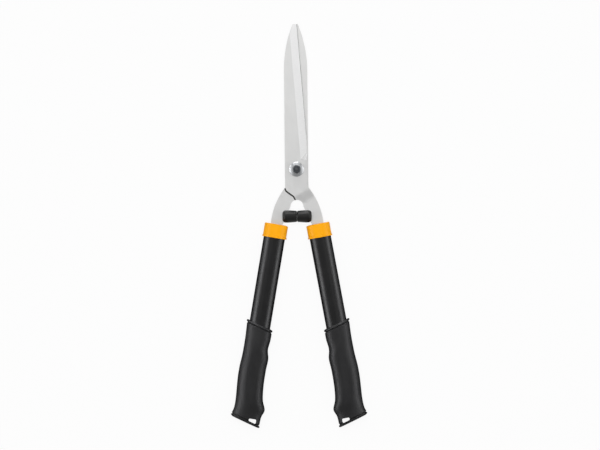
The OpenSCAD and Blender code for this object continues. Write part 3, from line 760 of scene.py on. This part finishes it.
class SHEARS_OT_pivot(bpy.types.Operator):
    """Models the pivot bolt, its locking nut with the nylon ring, and both domed washers"""

    bl_idname = "shears.pivot"
    bl_label = "Pivot"

    def execute(self, context):
        sizes, colours = context.scene.shears_pivot, context.scene.shears_colours
        black, zinc = finish("blackened_steel", colours), finish("zinc_plating", colours)
        self.bolt(sizes, black)
        self.nut(sizes, black)
        self.ring(sizes, finish("nylon", colours))
        low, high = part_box("upper_washer")
        self.washer(sizes, "upper_washer", low.z, high.z, zinc)
        low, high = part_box("lower_washer")
        self.washer(sizes, "lower_washer", high.z, low.z, zinc)
        return {"FINISHED"}

    def turned(self, name, profile, steps=64):
        """A piece turned about the pivot's axis from a profile of radii and heights."""
        points = [Vector((PIVOT.x + r, PIVOT.y, z)) for r, z in profile]
        return spin_profile(name, points, PIVOT, (0, 0, 1), steps)

    def fit_piece(self, piece, material, slot, node, limit=30):
        """Shades and hands over one of the pieces that stay with the lower half."""
        shade(piece, limit)
        set_materials(piece, material)
        finish_piece(piece, LOWER, node)

    def hexagon(self, sizes, name, low, high):
        """A hexagon between two heights, its corners turned off at the second one."""
        corner, up = sizes.hex_af / math.sqrt(3), math.copysign(1, high - low)
        rest_angle, turning_angle = math.radians(8), math.radians(30)
        depth, middle = abs(high - low), (PIVOT.x, PIVOT.y, (low + high) / 2)
        object_mode()
        bpy.ops.mesh.primitive_cylinder_add(vertices=6, radius=corner, depth=depth, location=middle)
        hexagon = name_piece(bpy.context.active_object, name)
        hexagon.rotation_euler.z = rest_angle
        place(hexagon)
        turned_r, wide, below = sizes.hex_af / 2 - 0.4 * MM, corner + MM, low - up * MM
        shoulder = high - up * (wide - turned_r) * math.tan(turning_angle)
        profile = [(0, below), (wide, below), (wide, shoulder), (turned_r, high), (0, high)]
        combine(hexagon, self.turned("corner_turning", profile), "INTERSECT")
        return hexagon

    def bolt(self, sizes, material):
        low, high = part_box("pivot_bolt")
        head_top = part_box("lower_washer")[0].z
        shank, chamfer, inside, end = sizes.bolt_d / 2, 0.8 * MM, head_top - MM, high.z
        bolt = self.hexagon(sizes, "pivot_bolt_steel", head_top, low.z)
        tip = [(shank, end - chamfer), (shank - chamfer, end), (0, end)]
        combine(bolt, self.turned("shank", [(0, inside), (shank, inside), *tip]), "UNION")
        ease_edges(bolt, 0.15 * MM)
        self.fit_piece(bolt, material, "bolt_steel", "pivot_bolt")

    def nut(self, sizes, material):
        low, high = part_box("pivot_nut")
        crown_r, edge = sizes.crown_d / 2, sizes.crown_round
        bore_r = sizes.bolt_d / 2 + FIT
        seat_r, seat_z = box_size("nut_locking_ring").x / 2 + FIT, high.z - sizes.ring_h
        below, above = low.z - MM, high.z + MM
        nut = self.hexagon(sizes, "pivot_nut_steel", low.z, low.z + sizes.nut_hex_h)
        round_edge = arc((crown_r - edge, high.z - edge), edge, 0, 90, 5)
        crown = [(0, low.z), (crown_r, low.z), *round_edge, (0, high.z)]
        combine(nut, self.turned("crown", crown), "UNION")
        step = [(bore_r, seat_z), (seat_r, seat_z)]
        bore = [(0, below), (bore_r, below), *step, (seat_r, above), (0, above)]
        combine(nut, self.turned("bore", bore), "DIFFERENCE")
        ease_edges(nut, 0.12 * MM)
        self.fit_piece(nut, material, "bolt_steel", "pivot_nut")

    def ring(self, sizes, material):
        low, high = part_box("nut_locking_ring")
        inner, outer = sizes.bolt_d / 2 + FIT, box_size("nut_locking_ring").x / 2
        top = [(outer, high.z, 0.3 * MM), (inner, high.z, 0.25 * MM)]
        corners = rounded([(inner, low.z, 0), (outer, low.z, 0), *top])
        ring = self.turned("nut_locking_ring_nylon", [*corners, (inner, low.z)])
        self.fit_piece(ring, material, "nylon", "nut_locking_ring")

    def washer(self, sizes, node, foot, seat, material):
        """A washer that falls from its level seat in a shallow dome to the foot on the blade."""
        up, height = math.copysign(1, seat - foot), abs(seat - foot)
        rim_r, seat_r, rim_t = box_size(node).x / 2, sizes.washer_seat_d / 2, sizes.washer_rim_t
        play, edge = 0.1 * MM, 0.2 * MM
        bore_r = sizes.bolt_d / 2 + play
        centre = (seat_r**2 + height**2 - rim_r**2 - rim_t**2) / (2 * (height - rim_t))
        start = math.degrees(math.atan2(rim_t - centre, rim_r))
        end = math.degrees(math.atan2(height - centre, seat_r))
        dome = arc((0, centre), math.hypot(rim_r, rim_t - centre), start + 0.5, end, 10)
        rim = [(bore_r, 0), (rim_r - edge, 0), (rim_r, edge), (rim_r, rim_t - edge)]
        bore = [(bore_r + edge, height), (bore_r, height - edge), (bore_r, 0)]
        profile = [(r, foot + up * h) for r, h in [*rim, *dome, *bore]]
        self.fit_piece(self.turned(node + "_zinc", profile, 96), material, "washer_steel", node, 35)


class SHEARS_OT_bumpers(bpy.types.Operator):
    """Models the rubber bumpers, moulded over the lugs of the necks"""

    bl_idname = "shears.bumpers"
    bl_label = "Bumpers"

    def execute(self, context):
        sizes = context.scene.shears_pivot
        rubber = finish("moulded_rubber", context.scene.shears_colours)
        low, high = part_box("bumper_right")
        axis_y = (low.y + high.y) / 2
        face_r, body_r = sizes.bumper_face_d / 2, sizes.bumper_d / 2
        # The striking faces stand closer than the solids', so that no light passes between them
        face_x, widest_x = 0.15 * low.x, low.x + 0.6 * (high.x - low.x)
        face_round, belly_round, end_round, end_step = 1.8 * MM, 24 * MM, 4.5 * MM, 0.2 * MM
        face = [(face_x, 0, 0), (face_x, face_r, face_round)]
        end = [(high.x, body_r - end_step, end_round), (high.x, 0, 0)]
        corners = rounded([*face, (widest_x, body_r, belly_round), *end], 7)
        profile = [Vector((x, axis_y, MID_Z + r)) for x, r in corners]
        bumper = spin_profile("bumper_right_rubber", profile, (0, axis_y, MID_Z), (1, 0, 0), 72)
        combine(bumper, merged_copy("upper_blade", "lug"), "DIFFERENCE")
        shade(bumper, 40)
        set_materials(bumper, rubber)
        finish_pair(bumper, "bumper_left_rubber", "bumper")
        return {"FINISHED"}


class SHEARS_OT_collars(bpy.types.Operator):
    """Models the collars over the upper ends of the tubes"""

    bl_idname = "shears.collars"
    bl_label = "Collars"

    def execute(self, context):
        sizes = context.scene.shears_handle
        plastic = finish("collar_plastic", context.scene.shears_colours)
        collar = self.sleeve(sizes)
        self.chamfer(collar, sizes)
        socket = [p + Vector((0, -sizes.collar_end, 0)) for p in oval(sizes, sizes.seat_gap)]
        combine(collar, prism("socket", socket, (0, -sizes.collar_len, 0)), "DIFFERENCE")
        combine(collar, self.tang_slot(sizes), "DIFFERENCE")
        shade(collar, 32)
        set_materials(collar, plastic)
        place(collar, handle_matrix(sizes))
        finish_pair(collar, "collar_left_plastic", "collar")
        return {"FINISHED"}

    def sleeve(self, sizes):
        """The collar's outside: a rounded top, straight walls and a lip at the lower edge."""
        edge, lip, length = sizes.collar_round, sizes.collar_lip, sizes.collar_len
        turns = [math.radians(a) for a in (0, 22, 45, 68, 90)]
        steps = [(edge - edge * math.cos(w), -edge + edge * math.sin(w)) for w in turns]
        lip_start = length - sizes.collar_lip_w
        rise = ((-0.6, 0), (-0.2, 0.15), (0.1, 0.85), (0.4, 1))
        fall = ((0.5, 0), (0.15, 0.15), (0, 0.5))
        steps += [(lip_start + x * MM, part * lip) for x, part in rise]
        steps += [(length - x * MM, lip - down * MM) for x, down in fall]
        half_w, half_h = sizes.tube_w / 2 + sizes.collar_wall, sizes.tube_h / 2 + sizes.collar_wall
        sleeve = draw_outline("collar_right_plastic", oval(sizes, sizes.collar_wall + steps[0][1]))
        for (before, grow), (along, next_grow) in zip(steps, steps[1:]):
            ratio = (growth(half_w, grow, next_grow), 1, growth(half_h, grow, next_grow))
            extrude_by((0, before - along, 0), ratio, (0, -along, 0))
        return close_mesh(sleeve)

    def chamfer(self, collar, sizes):
        """Cuts the inner upper corner away and eases the edge this leaves."""
        corner = Vector((-sizes.tube_w / 2 - sizes.collar_wall, -sizes.collar_chamfer_h, 0))
        across = Vector((-sizes.collar_chamfer_h, sizes.collar_chamfer_w, 0)).normalized()
        eased = 0.3 * MM

        def on_cut(edge):
            return all(abs((v.co - corner).dot(across)) < WELD for v in edge.verts)

        edit(collar)
        select_whole()
        bpy.ops.mesh.bisect(plane_co=corner, plane_no=across, use_fill=True, clear_outer=True)
        select_where(collar, "EDGE", on_cut)
        bpy.ops.mesh.bevel(offset=eased, segments=2, affect="EDGES")
        close_mesh(collar)

    def tang_slot(self, sizes):
        """The slot through which the tang enters."""
        half_w = sizes.tang_w / 2 + sizes.seat_gap
        half_t = sizes.steel_t / 2 + sizes.seat_gap
        corners = [(-half_w, -half_t), (half_w, -half_t), (half_w, half_t), (-half_w, half_t)]
        outline = [Vector((x, MM, z)) for x, z in corners]
        return prism("tang_slot", outline, (0, -sizes.collar_end - 2 * MM, 0))


class SHEARS_OT_tubes(bpy.types.Operator):
    """Models the painted oval tubes"""

    bl_idname = "shears.tubes"
    bl_label = "Tubes"

    def execute(self, context):
        sizes = context.scene.shears_handle
        paint = finish("powder_coat", context.scene.shears_colours)
        top = Vector((0, -sizes.collar_end, 0))
        length = sizes.tube_end - sizes.collar_end
        tube = prism("tube_right_steel", [p + top for p in oval(sizes, 0)], (0, -length, 0))
        bore = [p + top + Vector((0, MM, 0)) for p in oval(sizes, -sizes.tube_wall)]
        combine(tube, prism("bore", bore, (0, -length - 2 * MM, 0)), "DIFFERENCE")
        self.drill(tube, sizes)
        ease_edges(tube, 0.25 * MM, 50)
        shade(tube, 40)
        set_materials(tube, paint)
        place(tube, handle_matrix(sizes))
        finish_pair(tube, "tube_left_steel", "tube")
        return {"FINISHED"}

    def drill(self, tube, sizes):
        """Drills the hole for the cross pin."""
        radius = box_size("tang_pin_right").x / 2 + FIT
        outline = arc((0, -sizes.pin_drop), radius, 0, 345, 23)
        circle = [Vector((x, y, -sizes.tube_h)) for x, y in outline]
        combine(tube, prism("drill", circle, (0, 0, 2 * sizes.tube_h)), "DIFFERENCE")


class SHEARS_OT_grips(bpy.types.Operator):
    """Models the moulded grips with their rolled rims and hang holes"""

    bl_idname = "shears.grips"
    bl_label = "Grips"

    # Change of the half widths and of the half thickness in millimetres, by share of the length
    INNER_SWELL = (
        (0, -0.2), (0.1, -0.1), (0.21, -1.5), (0.29, 1.1), (0.41, 0.4),
        (0.58, 0.8), (0.72, 3.3), (0.80, 8.0), (0.88, 4.6), (1, 3.7),
    )
    OUTER_SWELL = (
        (0, 0.2), (0.18, -1), (0.36, -0.9), (0.49, 0.3), (0.61, 0.2),
        (0.83, -1.9), (0.92, -1.4), (0.975, 0.7), (1, -0.4),
    )
    FACE_SWELL = ((0, -0.9), (0.15, -0.5), (0.3, 0.5), (0.75, 0.5), (0.88, -1.2), (1, -2.4))
    # Points round a section
    SIDES = 56

    def execute(self, context):
        handle, sizes = context.scene.shears_handle, context.scene.shears_grip
        plastic = finish("grip_plastic", context.scene.shears_colours)
        grip = self.body(handle, sizes)
        self.flatten_faces(grip, handle, sizes)
        apply_modifier(grip, "SUBSURF", levels=1, render_levels=1)
        half_w = handle.tube_w / 2 + sizes.side_wall
        socket = [p + Vector((0, half_w - sizes.start, 0)) for p in oval(handle, handle.seat_gap)]
        depth = handle.tube_end - sizes.start + half_w
        combine(grip, prism("socket", socket, (0, -depth, 0)), "DIFFERENCE")
        combine(grip, self.hang_hole(handle, sizes), "DIFFERENCE")
        shade(grip, 35)
        set_materials(grip, plastic)
        place(grip, handle_matrix(handle))
        finish_pair(grip, "grip_left_moulding", "grip")
        return {"FINISHED"}

    def rims(self, sizes, x):
        """Height that the rim, the groove and the end add to the sides and to the faces."""
        near, before_end = min(x, sizes.length - x), 0.3
        groove = sizes.groove_depth * bead((near - sizes.rim_w) / sizes.groove_w)
        part = (near + before_end * sizes.rim_w) / ((1 + before_end) * sizes.rim_w)
        roll = sizes.rim_h * bead(part)
        corner = max(0, sizes.end_round - near)
        inset = sizes.end_round - math.sqrt(sizes.end_round**2 - corner**2)
        fall = sizes.face_fall * max(0, 1 - near / sizes.face_bevel)
        return roll - inset - groove, -groove - fall

    def section(self, handle, sizes, x):
        """Inner and outer half width and half thickness at a distance along the grip."""
        f = x / sizes.length
        side_rim, face_rim = self.rims(sizes, x)
        half_w = handle.tube_w / 2 + sizes.side_wall + side_rim
        half_h = handle.tube_h / 2 + sizes.face_wall + face_rim
        swells = (self.INNER_SWELL, self.OUTER_SWELL, self.FACE_SWELL)
        inner, outer, face = (smooth_curve(knots, f) * MM for knots in swells)
        return half_w + inner, half_w + outer, half_h + face

    def stations(self, sizes):
        """Distances along the grip, close together at the rims."""
        zone, fine, spans = sizes.rim_w + 1.2 * sizes.groove_w, 10, 48
        end = [f * sizes.end_round for f in (0, 0.06, 0.25, 0.55, 1)]
        end += [sizes.end_round + (zone - sizes.end_round) * i / fine for i in range(1, fine)]
        middle = [zone + (sizes.length - 2 * zone) * i / spans for i in range(spans + 1)]
        return [*end, *middle, *[sizes.length - x for x in reversed(end)]]

    def body(self, handle, sizes):
        """The grip's outside, extruded section by section along the handle."""
        stations = self.stations(sizes)
        inner, outer, face = self.section(handle, sizes, stations[0])
        palm, fingers = (outer, sizes.palm_squareness), (inner, sizes.finger_squareness)
        outline = []
        for i in range(self.SIDES):
            x, z = math.cos(math.tau * i / self.SIDES), math.sin(math.tau * i / self.SIDES)
            reach, squareness = palm if x > 0 else fingers
            across = reach * math.copysign(abs(x) ** (2 / squareness), x)
            up = face * math.copysign(abs(z) ** (2 / squareness), z)
            outline.append(Vector((across, sizes.slant * across - sizes.start, up)))
        grip = draw_outline("grip_right_moulding", outline)
        middle, half = (outer - inner) / 2, (outer + inner) / 2
        for before, x in zip(stations, stations[1:]):
            inner, outer, next_face = self.section(handle, sizes, x)
            next_middle, next_half = (outer - inner) / 2, (outer + inner) / 2
            shift, wider = next_middle - middle, next_half / half
            centre = (next_middle, -(sizes.start + x - sizes.slant * next_middle), 0)
            step = (shift, before - x + sizes.slant * shift, 0)
            extrude_by(step, (wider, wider, next_face / face), centre)
            middle, half, face = next_middle, next_half, next_face
        return close_mesh(grip)

    def flatten_faces(self, grip, handle, sizes):
        """Presses the crown of the front and back faces flat."""
        limit = handle.tube_h / 2 + sizes.face_wall
        edit(grip)
        for side in (-1, 1):
            select_where(grip, "VERT", lambda v: v.co.z * side > limit)
            bpy.ops.transform.resize(value=(1, 1, 0), center_override=(0, 0, side * limit))
        object_mode()

    def hang_hole(self, handle, sizes):
        """The plug that leaves the hang hole, flared at both mouths."""
        bottom = sizes.start + sizes.length
        tail_x = -(handle.tube_w / 2 + sizes.side_wall + self.INNER_SWELL[-1][1] * MM)
        hang_x = tail_x + sizes.hang_side
        corners = []
        for x, y in ((0, 0), (1, 0), (1, 0.6), (0, 1)):
            across = hang_x + x * sizes.hang_w
            along = -(bottom - sizes.hang_rim - y * sizes.hang_h - sizes.slant * across)
            corners.append((across, along, sizes.hang_corner))
        points = rounded(corners, 6)
        centre = sum(points, Vector((0, 0))) / len(points)
        half_w, half_h = sizes.hang_w / 2, sizes.hang_h / 2
        mouth = sizes.hang_mouth
        side_fall, beyond, turns = 0.4 * MM, 3 * MM, swing(0, 90, 3)
        face_z = handle.tube_h / 2 + sizes.face_wall + self.FACE_SWELL[-2][1] * MM - side_fall
        flare = [(face_z - mouth + mouth * math.sin(w), mouth * (1 - math.cos(w))) for w in turns]
        flare.append((face_z + beyond, mouth))
        levels = [(-z, grow) for z, grow in reversed(flare)] + flare
        z, grow = levels[0]
        plug = draw_outline("hang_plug", [Vector((p.x, p.y, z)) for p in points])
        ratio = (growth(half_w, 0, grow), growth(half_h, 0, grow), 1)
        bpy.ops.transform.resize(value=ratio, center_override=(centre.x, centre.y, z))
        for next_z, next_grow in levels[1:]:
            ratio = (growth(half_w, grow, next_grow), growth(half_h, grow, next_grow), 1)
            extrude_by((0, 0, next_z - z), ratio, (centre.x, centre.y, next_z))
            z, grow = next_z, next_grow
        return close_mesh(plug)


class SHEARS_OT_inner_parts(bpy.types.Operator):
    """Finishes the CAD pieces inside the handles and between the blades"""

    bl_idname = "shears.inner_parts"
    bl_label = "Inner parts"

    def execute(self, context):
        colours = context.scene.shears_colours
        names = ("core_plastic", "plain_steel", "bearing_plastic")
        core, pin, bearing = (finish(name, colours) for name in names)
        for side in ("right", "left"):
            set_materials(frame["nodes"]["tang_core_" + side], core)
            set_materials(frame["nodes"]["tang_pin_" + side], pin)
        set_materials(frame["nodes"]["bearing_washer"], bearing)
        return {"FINISHED"}


class SHEARS_OT_studio(bpy.types.Operator):
    """Sets the floor, the lamps, the surroundings and the camera"""

    bl_idname = "shears.studio"
    bl_label = "Studio"

    # Place, size and watts of each lamp, in metres and watts
    LAMPS = {
        "left_card": ((-1.6, 0.0, 0.93), (2.2, 0.55), 27),
        "right_card": ((1.6, 0.0, 0.93), (2.2, 0.55), 20),
        "far_card": ((-0.15, 2.0, 0.85), (0.9, 0.8), 32),
        "tip_panel": ((-0.45, 1.2, 3.3), (2.4, 1.6), 15.5),
        "right_high_panel": ((1.3, 0.75, 3.4), (1.2, 1.2), 5.5),
        "overhead_fill": ((0.0, 0.0, 3.2), (1.6, 1.6), 50),
    }
    # Lamps that only glossy surfaces see, and those that only matt ones do
    FOR_GLOSS = ("left_card", "right_card", "far_card")
    FOR_MATT = ("overhead_fill",)

    def execute(self, context):
        studio = context.scene.shears_studio
        self.floor(studio, context.scene.shears_colours.floor)
        self.surroundings(studio)
        for name, (location, size, watts) in self.LAMPS.items():
            self.lamp(name, location, size, watts)
        self.camera(studio)
        context.scene.view_settings.view_transform = "Standard"
        return {"FINISHED"}

    def floor(self, studio, white):
        """A wide pale floor that keeps the shears' shadow."""
        object_mode()
        bpy.ops.mesh.primitive_plane_add(size=30)
        floor = name_piece(bpy.context.active_object, "floor")
        edit(floor)
        bpy.ops.mesh.subdivide(number_cuts=3)
        object_mode()
        material = bpy.data.materials.new("pale_floor")
        material.use_nodes = True
        tree = material.node_tree
        tree.nodes.remove(tree.nodes["Principled BSDF"])
        path = tree.nodes.new("ShaderNodeLightPath")
        seen = path.outputs["Is Camera Ray"]
        for ray in ("Is Glossy Ray", "Is Transmission Ray"):
            inputs = {0: seen, 1: path.outputs[ray]}
            seen = add_node(tree, "Math", inputs, operation="ADD", use_clamp=True)
        glowing = add_node(tree, "Math", {0: seen, 1: studio.floor_glow}, operation="MULTIPLY")
        matt = add_node(tree, "BsdfDiffuse", {"Color": (*white, 1)})
        glow = add_node(tree, "Emission", {"Color": (1, 1, 1, 1)})
        mix = add_node(tree, "MixShader", {"Fac": glowing, 1: matt, 2: glow})
        feed(tree, tree.nodes["Material Output"].inputs["Surface"], mix)
        set_materials(floor, material)

    def surroundings(self, studio):
        """White walls that darken towards the ceiling."""
        world = bpy.data.worlds.new("studio_walls")
        world.use_nodes = True
        bpy.context.scene.world = world
        tree = world.node_tree
        way = add_node(tree, "TexCoord", {}, "Generated")
        height = add_node(tree, "SeparateXYZ", {0: way}, "Z")
        levels = (studio.sky_low, studio.sky_high)
        strength = ramp(tree, height, *levels, start=0.03, end=0.3, interpolation_type="SMOOTHSTEP")
        feed(tree, tree.nodes["Background"].inputs["Strength"], strength)
        feed(tree, tree.nodes["Background"].inputs["Color"], (1, 1, 1, 1))

    def lamp(self, name, location, size, watts):
        """A soft panel aimed at the middle of the shears."""
        data = bpy.data.lights.new(name, "AREA")
        data.shape, data.size, data.size_y, data.energy = "RECTANGLE", size[0], size[1], watts
        lamp = bpy.data.objects.new(name, data)
        lamp.location = location
        toward = Vector((0, 0, MID_Z)) - Vector(location)
        lamp.rotation_euler = toward.to_track_quat("-Z", "Y").to_euler()
        lamp.visible_diffuse = name not in self.FOR_GLOSS
        lamp.visible_glossy = name not in self.FOR_MATT
        bpy.context.scene.collection.objects.link(lamp)

    def camera(self, studio):
        """Looks straight down on the shears from far off."""
        data = bpy.data.cameras.new("camera")
        data.lens = studio.lens
        height = studio.view_width / data.sensor_width * studio.lens
        camera = bpy.data.objects.new("camera", data)
        camera.location = (studio.aim_x, studio.aim_y, MID_Z + height)
        camera.rotation_euler = (0, 0, studio.roll)
        bpy.context.scene.collection.objects.link(camera)
        bpy.context.scene.camera = camera


class SHEARS_PT_panel(bpy.types.Panel):
    """Lists the operators that build the shears"""

    bl_idname = "SHEARS_PT_panel"
    bl_label = "Hedge Shears"
    bl_space_type = "VIEW_3D"
    bl_region_type = "UI"
    bl_category = "Hedge Shears"

    def draw(self, context):
        for group in PROPERTY_GROUPS:
            column = self.layout.column(align=True)
            settings = getattr(context.scene, group)
            for key in settings.__annotations__:
                column.prop(settings, key)
        for operator in OPERATORS:
            self.layout.operator(operator.bl_idname)


PROPERTY_GROUPS = {
    "shears_handle": ShearsHandleSizes,
    "shears_grip": ShearsGripSizes,
    "shears_pivot": ShearsPivotSizes,
    "shears_colours": ShearsColours,
    "shears_studio": ShearsStudio,
}
OPERATORS = (
    SHEARS_OT_studio,
    SHEARS_OT_blades,
    SHEARS_OT_pivot,
    SHEARS_OT_bumpers,
    SHEARS_OT_collars,
    SHEARS_OT_tubes,
    SHEARS_OT_grips,
    SHEARS_OT_inner_parts,
)


def register():
    for group in PROPERTY_GROUPS.values():
        bpy.utils.register_class(group)
    for name, group in PROPERTY_GROUPS.items():
        setattr(bpy.types.Scene, name, bpy.props.PointerProperty(type=group))
    for operator in OPERATORS:
        bpy.utils.register_class(operator)
    bpy.utils.register_class(SHEARS_PT_panel)


def unregister():
    bpy.utils.unregister_class(SHEARS_PT_panel)
    for operator in reversed(OPERATORS):
        bpy.utils.unregister_class(operator)
    for name in PROPERTY_GROUPS:
        delattr(bpy.types.Scene, name)
    for group in reversed(PROPERTY_GROUPS.values()):
        bpy.utils.unregister_class(group)


def main():
    """Builds every piece."""
    register()
    bpy.ops.shears.studio()
    bpy.ops.shears.blades()
    bpy.ops.shears.pivot()
    bpy.ops.shears.bumpers()
    bpy.ops.shears.collars()
    bpy.ops.shears.tubes()
    bpy.ops.shears.grips()
    bpy.ops.shears.inner_parts()


if __name__ == "__main__":
    main()
